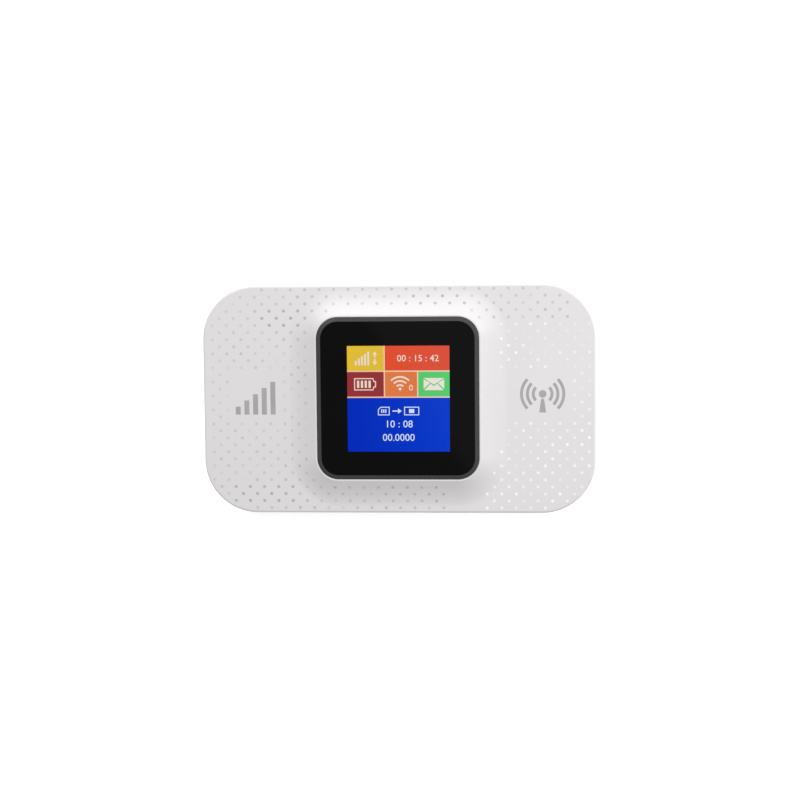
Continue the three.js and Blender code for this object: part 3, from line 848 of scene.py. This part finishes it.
def finish_sign(z, thickness=LAYER):
    """Gives the flat sign its thickness and lays it at height z."""
    bpy.ops.mesh.select_all(action="SELECT")
    bpy.ops.mesh.remove_doubles(threshold=0.001 * MM)
    face_outwards()
    bpy.ops.transform.translate(value=(0, 0, z * MM))
    bpy.ops.object.mode_set(mode="OBJECT")
    sign = bpy.context.object
    solid = sign.modifiers.new("thickness", "SOLIDIFY")
    solid.thickness = thickness * MM
    solid.offset = 0
    bpy.ops.object.modifier_apply(modifier="thickness")
    return sign


SIGN_Z = SCREEN_Z + 2 * LAYER + LAYER / 2


def tile_centre(name):
    (left, top, width, height), *_ = TILES[name]
    return VIEW_LEFT + left + width / 2, VIEW_TOP - top - height / 2


def add_digits(name, text, x, y, height, weight=0.004):
    """A row of digits as a thin solid, centred on x and y."""
    object_mode()
    bpy.ops.object.text_add()
    digits = bpy.context.object
    digits.name = name
    digits.data.body = text
    digits.data.align_x = "CENTER"
    digits.data.align_y = "CENTER"
    digits.data.size = height / 0.7
    digits.data.offset = weight
    digits.data.extrude = LAYER / 2
    digits.data.resolution_u = 3
    bpy.ops.object.convert(target="MESH")
    digits.scale = (MM, MM, MM)
    digits.location = (x * MM, y * MM, SIGN_Z * MM)
    bpy.ops.object.transform_apply(location=True, rotation=True, scale=True)
    bpy.ops.object.mode_set(mode="EDIT")
    return close_up()


# %% Signs on the small tiles
def signal_sign():
    x, y = tile_centre("tile_signal")
    start_sign("sign_signal")
    for k in range(5):
        sign_bar(x - 2.6 + 0.78 * k, y - 1.75, 0.46, 1.15 + 0.56 * k)
    for side in (1, -1):
        tip, neck, end = y + side * 1.7, y + side * 0.85, y + side * 0.15
        sign_shape([(x + 2.35, tip), (x + 1.75, neck), (x + 2.95, neck)])
        sign_shape([(x + 2.17, neck), (x + 2.17, end), (x + 2.53, end), (x + 2.53, neck)])
    return finish_sign(SIGN_Z)


def battery_sign():
    x, y = tile_centre("tile_battery")
    start_sign("sign_battery")
    left, right, low, high = x - 2.7, x + 1.85, y - 1.4, y + 1.4
    tip = [(right, low), (right + 0.25, y - 0.65), (right + 0.65, y - 0.65), (right + 0.65, y + 0.65),
           (right + 0.25, y + 0.65), (right, high)]
    sign_stroke([*tip, (left, high), (left, low), (right, low)], 0.24)
    for k in range(4):
        sign_bar(left + 0.6 + 0.95 * k, low + 0.5, 0.56, high - low - 1.0)
    return finish_sign(SIGN_Z)


def wireless_sign():
    x, y = tile_centre("tile_wireless")
    start_sign("sign_wireless")
    x, y = x - 0.25, y - 1.35
    for radius in (1.15, 2.15, 3.15):
        sign_arc(x, y, radius, 0.4, 45, 135)
    sign_disc(x, y + 0.15, 0.36)
    return finish_sign(SIGN_Z)


def message_sign():
    x, y = tile_centre("tile_message")
    start_sign("sign_message")
    half, rise, gap = 2.55, 1.5, 0.15
    sign_shape([(x - half, y + rise), (x + half, y + rise), (x, y - 0.15)])
    sign_shape([(x - half, y + rise - 2 * gap), (x - 0.95, y + 0.3), (x - half, y - rise + 2 * gap)])
    sign_shape([(x + half, y + rise - 2 * gap), (x + half, y - rise + 2 * gap), (x + 0.95, y + 0.3)])
    sign_shape([(x - half + gap, y - rise), (x - 0.8, y + 0.1), (x, y - 0.5), (x + 0.8, y + 0.1),
                (x + half - gap, y - rise)])
    return finish_sign(SIGN_Z)


signs = [signal_sign(), battery_sign(), wireless_sign(), message_sign()]
title_x, title_y = tile_centre("tile_title")
signs.append(add_digits("sign_title", "00 : 15 : 42", title_x + 0.2, title_y - 0.1, 1.6))
wireless_x, wireless_y = tile_centre("tile_wireless")
signs.append(add_digits("sign_users", "0", wireless_x + 2.45, wireless_y - 0.95, 1.5, weight=0))
print(len(signs), "signs on the small tiles")


# %% Signs on the large tile
def card_sign(x, y):
    """A card with a cut corner, an arrow, and the case that the card goes into."""
    start_sign("sign_card")
    low, high = y - 0.95, y + 0.95
    sign_stroke([(x - 5.0, low), (x - 2.3, low), (x - 2.3, high), (x - 4.4, high), (x - 5.0, high - 0.6),
                 (x - 5.0, low)], 0.22)
    for k in range(3):
        sign_bar(x - 4.3 + 0.5 * k, y - 0.45, 0.3, 0.9)
    sign_bar(x - 1.5, y - 0.15, 1.5, 0.3)
    sign_shape([(x - 0.1, y - 0.65), (x + 0.8, y), (x - 0.1, y + 0.65)])
    sign_stroke([(x + 1.5, low), (x + 5.0, low), (x + 5.0, high), (x + 1.5, high), (x + 1.5, low)], 0.22)
    sign_bar(x + 2.6, y - 0.5, 1.3, 1.0)
    return finish_sign(SIGN_Z)


status_x, status_y = tile_centre("tile_status")
signs.append(card_sign(status_x, status_y + 3.4))
signs.append(add_digits("sign_clock", "10 : 08", status_x + 0.1, status_y + 0.1, 1.75, weight=0.008))
signs.append(add_digits("sign_counter", "00.0000", status_x, status_y - 3.25, 1.75, weight=0.008))
white_light = lit("white_light", srgb(232, 216, 196), srgb(234, 226, 218))
pale_blue_light = lit("pale_blue_light", srgb(206, 222, 250), srgb(214, 226, 250))
for sign in signs:
    on_large_tile = sign.name in ("sign_card", "sign_clock", "sign_counter")
    paint(sign, pale_blue_light if on_large_tile else white_light)
for piece in picture + signs:
    place_piece(piece, "case", "panel")
print(len(signs), "signs in all")

# %% [markdown]
# ## Print on the case
# The face carries two grey marks and a fine pattern of dots. Ink has almost no thickness, but it does not
# shine like the plastic, so it is modelled as thin solids with a duller finish. The marks are plain
# pictograms: rising bars on the left, and a mast that sends out waves on the right.


# %% Marks
INK = 0.02  # thickness of a printed layer
MARK_Z = FACE_Z + INK / 2 - 0.005


def bars_mark(x, y):
    start_sign("mark_bars")
    for k in range(5):
        sign_bar(x - 5.2 + 2.2 * k, y - 4.1, 1.25, 2.0 + 1.55 * k)
    return finish_sign(MARK_Z, INK)


def waves_mark(x, y):
    """A mast with a ball on top, and waves that leave it on both sides."""
    start_sign("mark_waves")
    sign_disc(x, y, 0.95)
    sign_shape([(x - 0.35, y - 1.2), (x + 0.35, y - 1.2), (x + 0.85, y - 4.6), (x - 0.85, y - 4.6)])
    for radius in (2.3, 3.75, 5.2):
        for side in (0, 180):
            sign_arc(x, y, radius, 0.72, side - 44, side + 44)
    return finish_sign(MARK_Z, INK)


mark_ink = finish("mark_ink", (0.30, 0.295, 0.30, 1), 0.5, grain=0.15, relief=0.002, shine=0.3,
                  variation=0.05, patch=3)
for mark in (bars_mark(-35.6, 0.4), waves_mark(35.7, 1.3)):
    paint(mark, mark_ink)
    place_piece(mark, "case", "shell")
    describe(mark)

# %% [markdown]
# The dots stand on a lattice turned by 45 degrees, about 2.5 mm from dot to dot. They leave a border free
# along the outline, round the window and round the two marks. Most are silver grey, darker in three
# patches. On the right they are a glossy pearl ink, and its sheen under the light from the right is painted
# into their colour as pearl white: a painted highlight. Each dot is a circle laid on the surface below it,
# which a ray finds, and Solidify turns all dots of one ink into thin discs.

# %% Dots
DOT_ACROSS = 3.6
DOT_ROW = 1.757
DOT_FIRST = (0.36, 25.6)
DOT_RADIUS = 0.4
BORDER = 1.2
# areas, as (middle, half length, half width)
STRONG_PATCHES = (((-28.5, 20.8), 5.8, 2.4), ((9.5, 24.6), 8, 1.8), ((-34.5, -23.4), 8, 2.8))
ROUND_THE_MARKS = (((-35.6, 0.6), 6.9, 6.2), ((35.6, 1.0), 7.2, 6.6))
BAND = 19.4  # above this height, silver dots run the whole length
BAND_END = 42.6
SILVER_END = 12.2  # under the band
LIGHT_END = -37  # in the band, dots left of this are lighter
PEARL_HIGHLIGHT_START = 21
PEARL_HIGHLIGHT_SLANT = 0.33
PEARL_HIGHLIGHT_LOW, PEARL_HIGHLIGHT_TOP = -23, -6
FAINT_LEFT, FAINT_LOW = 24.5, 6.5
END_COLUMN = 43.2  # one column of faint dots beside the right mark
# brightness of each ink; the two pearl inks are brighter by a painted highlight, the sheen of the light from
# the right painted into their colour
INKS = {"light_silver": 0.485, "silver": 0.44, "dark_silver": 0.35, "pearl": 0.67, "faint_pearl": 0.625}


def outside_by(x, y, length, width, corner, middle_y=0):
    """Distance from a rectangle with round corners, negative inside it."""
    dx = abs(x) - (length / 2 - corner)
    dy = abs(y - middle_y) - (width / 2 - corner)
    return math.hypot(max(dx, 0), max(dy, 0)) + min(max(dx, dy), 0) - corner


def is_in(areas, x, y):
    return any(abs(x - middle[0]) < half_length and abs(y - middle[1]) < half_width
               for middle, half_length, half_width in areas)


def pearl_highlight_at(x, y):
    """The pearl ink in the area on the right, made paler by a painted highlight, whose dots get fainter
    upwards.
    """
    if y < PEARL_HIGHLIGHT_TOP:
        return "pearl" if x > PEARL_HIGHLIGHT_START + 0.2 + PEARL_HIGHLIGHT_SLANT * max(0, y - PEARL_HIGHLIGHT_LOW) else None
    return "faint_pearl" if (y > FAINT_LOW and x > FAINT_LEFT) or x > END_COLUMN else None


def ink_at(x, y):
    """The ink of a dot at this place, or None where the print has a gap."""
    rim = WINDOW + 2 * (GAP + RIM_WIDTH)
    if outside_by(x, y, LENGTH, WIDTH, CORNER) > -BORDER or is_in(ROUND_THE_MARKS, x, y):
        return None
    if outside_by(x, y, rim, rim, WINDOW_CORNER + GAP + RIM_WIDTH, WINDOW_Y) < BORDER:
        return None
    if x > PEARL_HIGHLIGHT_START and y < BAND:
        return pearl_highlight_at(x, y)
    if x > (SILVER_END if y < BAND else BAND_END):
        return None
    if is_in(STRONG_PATCHES, x, y):
        return "dark_silver"
    return "silver" if abs(y) > BAND and x > LIGHT_END else "light_silver"


def dot_places():
    places = {ink: [] for ink in INKS}
    for row in range(-2, 33):
        y = DOT_FIRST[1] - DOT_ROW * row
        for step in range(-15, 16):
            x = DOT_FIRST[0] + DOT_ACROSS * (step + row % 2 / 2)
            ink = ink_at(x, y)
            if ink:
                places[ink].append((x, y))
    return places


def print_dots(name, places):
    start_sign(name)
    for x, y in places:
        above = Vector((x, y, 2 * FACE_Z)) * MM
        _, place, normal, _ = case_front.ray_cast(above, Vector((0, 0, -1)))
        turn = Vector((0, 0, 1)).rotation_difference(normal).to_euler()
        bpy.ops.mesh.primitive_circle_add(
            vertices=12, radius=DOT_RADIUS * MM, fill_type="NGON", location=place, rotation=turn)
    bpy.ops.object.mode_set(mode="OBJECT")
    dots = bpy.context.object
    solid = dots.modifiers.new("thickness", "SOLIDIFY")
    solid.thickness = INK * MM
    solid.offset = 0.4
    bpy.ops.object.modifier_apply(modifier="thickness")
    return dots


for name, places in dot_places().items():
    dots = print_dots("dots_" + name, places)
    # for the two pearl inks this grey holds a painted highlight, the sheen of the light from the right
    grey = (INKS[name], INKS[name] * 0.99, INKS[name], 1)
    paint(dots, finish(name, grey, 0.35, grain=0.1, relief=0.002, variation=0.1, patch=5))
    place_piece(dots, "case", "shell")
    print(f"{dots.name}: {len(places)} dots")

# %% [markdown]
# ## Power key
# The key is a capsule-shaped cap that fills its slot in the right end of the case, with a wider plate
# behind the wall that keeps it in. The cap is drawn upright, its outer edge is rounded with a small
# fillet, and it is turned into the wall like the cutters were. A ring with a short bar, the usual sign for
# power, is printed on it.

# %% Power key
KEY_EDGE = 0.35
key_back = key_low[0] - LENGTH / 2
PLATE = 0.8


def make_key_cap():
    start_block("key_cap", KEY["length"], KEY["height"], key_back + PLATE - 0.05, -KEY_EDGE,
                KEY["height"] / 2 - 0.02)
    pick_flat_face(-KEY_EDGE)
    follow([(0, 0)] + arc(KEY_EDGE, 6))
    cap = put_in_wall(close_up(), KEY_PLACE, TO_RIGHT)
    smooth(cap)
    return cap


def make_key_plate():
    start_block("key_plate", 11.6, 3.7, key_back, key_back + PLATE - 0.05, 0.5, (0, 0.15), corner_steps=4)
    pick("edges", lambda e: abs(e.verts[0].co.z - e.verts[1].co.z) < 0.01 * MM)
    bpy.ops.mesh.bevel(offset=0.12 * MM, segments=2, affect="EDGES")
    plate = put_in_wall(close_up(), KEY_PLACE, TO_RIGHT)
    smooth(plate)
    return plate


def make_key_sign():
    start_sign("key_sign")
    sign_arc(0, 0, 0.6, 0.17, 120, 420, steps=20)
    sign_bar(-0.085, 0.1, 0.17, 0.72)
    return put_in_wall(finish_sign(INK / 2 - 0.005, INK), KEY_PLACE, TO_RIGHT)


key_satin = finish("key_satin", (0.60, 0.59, 0.60, 1), 0.36, grain=0.2, relief=0.003, variation=0.02)
key_cap, key_plate, key_sign = make_key_cap(), make_key_plate(), make_key_sign()
for piece in (key_cap, key_plate):
    paint(piece, key_satin)
    place_piece(piece, "power_key", "key", "power_key")
    describe(piece)
paint(key_sign, mark_ink)
place_piece(key_sign, "power_key", "key")

# %% [markdown]
# ## Parts that keep their CAD shape
# The charging port, the circuit board with its chips and tin covers, the antennas, the battery and the
# screws have the right shape already, so they only get a finish. Each record slot gets one material. Some
# need more than the plain recipe: the board has copper tracks under green lacquer, ribbons have fine
# parallel tracks, and a rolled or brushed metal shows fine lines in one direction.


# %% Patterned finishes
def lay_over(material, colour, strength):
    """Blends a colour over a finish."""
    tree = material.node_tree
    shader = tree.nodes["Principled BSDF"]
    base = shader.inputs["Base Color"].links[0].from_socket
    blend = tree.nodes.new("ShaderNodeMix")
    blend.data_type = "RGBA"
    blend.inputs["B"].default_value = colour
    tree.links.new(strength, blend.inputs["Factor"])
    tree.links.new(base, blend.inputs["A"])
    tree.links.new(blend.outputs["Result"], shader.inputs["Base Color"])
    return material


def add_lines(material, colour, spacing, share, strength):
    """Draws fine even lines of another colour over a finish."""
    tree = material.node_tree
    place = tree.nodes.new("ShaderNodeTexCoord")
    wave = tree.nodes.new("ShaderNodeTexWave")
    wave.inputs["Scale"].default_value = 0.314 / (spacing * MM)
    wave.inputs["Distortion"].default_value = 0
    tree.links.new(place.outputs["Object"], wave.inputs["Vector"])
    level = number_between(tree, wave.outputs["Fac"], 0, strength, share - 0.06, share + 0.06)
    return lay_over(material, colour, level)


def add_cells(material, colour, size):
    """Draws the straight-edged borders between cells, which look like the tracks of a circuit board."""
    tree = material.node_tree
    place = tree.nodes.new("ShaderNodeTexCoord")
    cells = tree.nodes.new("ShaderNodeTexVoronoi")
    cells.distance = "MANHATTAN"
    cells.feature = "F2"
    cells.inputs["Scale"].default_value = 1 / (size * MM)
    tree.links.new(place.outputs["Object"], cells.inputs["Vector"])
    steps = tree.nodes.new("ShaderNodeMath")
    steps.operation = "PINGPONG"
    steps.inputs[1].default_value = 0.25
    tree.links.new(cells.outputs["Distance"], steps.inputs[0])
    level = number_between(tree, steps.outputs["Value"], 1, 0, 0.06, 0.08)
    return lay_over(material, colour, level)


# %% Finishes by slot
BRUSHED = (1, 14, 1)
amber_film = finish("amber_film", (0.42, 0.17, 0.022, 1), 0.32, relief=0.002, variation=0.08)
green_lacquer = finish("green_lacquer", (0.012, 0.10, 0.04, 1), 0.3, grain=0.3, relief=0.006, variation=0.1)
SLOT_FINISHES = {
    "shell": shell_gloss,
    "key": key_satin,
    "chassis": finish("chassis_satin", (0.62, 0.62, 0.61, 1), 0.5, grain=0.3, relief=0.006, variation=0.02),
    "window": finish("window_glass", (0.004, 0.004, 0.004, 1), 0.08, grain=2, relief=0, variation=0.1),
    "tape": finish("black_tape", (0.02, 0.02, 0.02, 1), 0.7, grain=0.2, relief=0.01, variation=0.1),
    "foam": finish("black_foam", (0.03, 0.03, 0.03, 1), 0.95, grain=0.12, relief=0.05,
                   variation=0.25, patch=0.3),
    "panel": finish("panel_glass", (0.03, 0.035, 0.05, 1), 0.12, grain=1, relief=0, coat=0.5, variation=0.15),
    "backlight": finish("backlight_white", (0.8, 0.8, 0.78, 1), 0.55, grain=0.25, relief=0.005),
    "flex": add_lines(amber_film, (0.24, 0.075, 0.008, 1), 0.5, share=0.55, strength=0.8),
    "board": add_cells(green_lacquer, (0.035, 0.22, 0.09, 1), 2.4),
    "tin": finish("tinned_sheet", (0.62, 0.63, 0.64, 1), 0.34, grain=0.25, metal=1,
                  variation=0.05, stretch=BRUSHED),
    "steel": finish("brushed_steel", (0.55, 0.56, 0.58, 1), 0.28, grain=0.2, relief=0.003, metal=1,
                    variation=0.06, stretch=BRUSHED),
    "gold": finish("gold_plating", (0.72, 0.46, 0.14, 1), 0.25, grain=0.3, relief=0.002, metal=1,
                   variation=0.06),
    "chip": finish("moulded_chip", (0.018, 0.018, 0.02, 1), 0.55, grain=0.12, relief=0.008,
                   variation=0.15, patch=2),
    "connector": finish("black_nylon", (0.022, 0.022, 0.024, 1), 0.48, grain=0.2, relief=0.006,
                        variation=0.12, patch=3),
    "pad": finish("grey_silicone", (0.26, 0.31, 0.37, 1), 0.8, grain=0.5, relief=0.02,
                  variation=0.08, patch=3),
    "battery": finish("battery_sleeve", (0.045, 0.05, 0.06, 1), 0.42, grain=0.35, relief=0.006,
                      variation=0.08),
    "label": finish("label_film", (0.78, 0.78, 0.76, 1), 0.5, grain=0.15, relief=0.003, patch=6),
}
for part in frame["record"]["subparts"]:
    node = frame["nodes"][part["node"]]
    paint(node, SLOT_FINISHES[part["material_slot"]])
print(len(SLOT_FINISHES), "finishes on", len(frame["nodes"]), "CAD parts")

# %% [markdown]
# ## Signs on the battery
# The battery's label says which end is which: a plus and a minus beside the contacts, above a border and a
# frame that leaves room for a printed table.


# %% Battery print
def make_battery_print():
    low, high = box_of("battery_label")
    left, right, bottom, top = low[0] + 2, high[0] - 2, low[1] + 2, high[1] - 2
    start_sign("battery_print")
    sign_stroke([(left, bottom), (right, bottom), (right, top), (left, top), (left, bottom)], 0.35)
    for k in range(4):
        sign_bar(left + 3, bottom + 4.5 + 5 * k, 22 - 3 * (k % 2), 0.5)
    for sign_y in (-3, 3):
        sign_bar(right - 6, sign_y - 0.3, 3, 0.6)
    sign_bar(right - 4.8, 1.5, 0.6, 3)
    return finish_sign(low[2] - INK / 2 + 0.005, INK)


battery_print = make_battery_print()
paint(battery_print, mark_ink)
place_piece(battery_print, "battery", "label")
describe(battery_print)
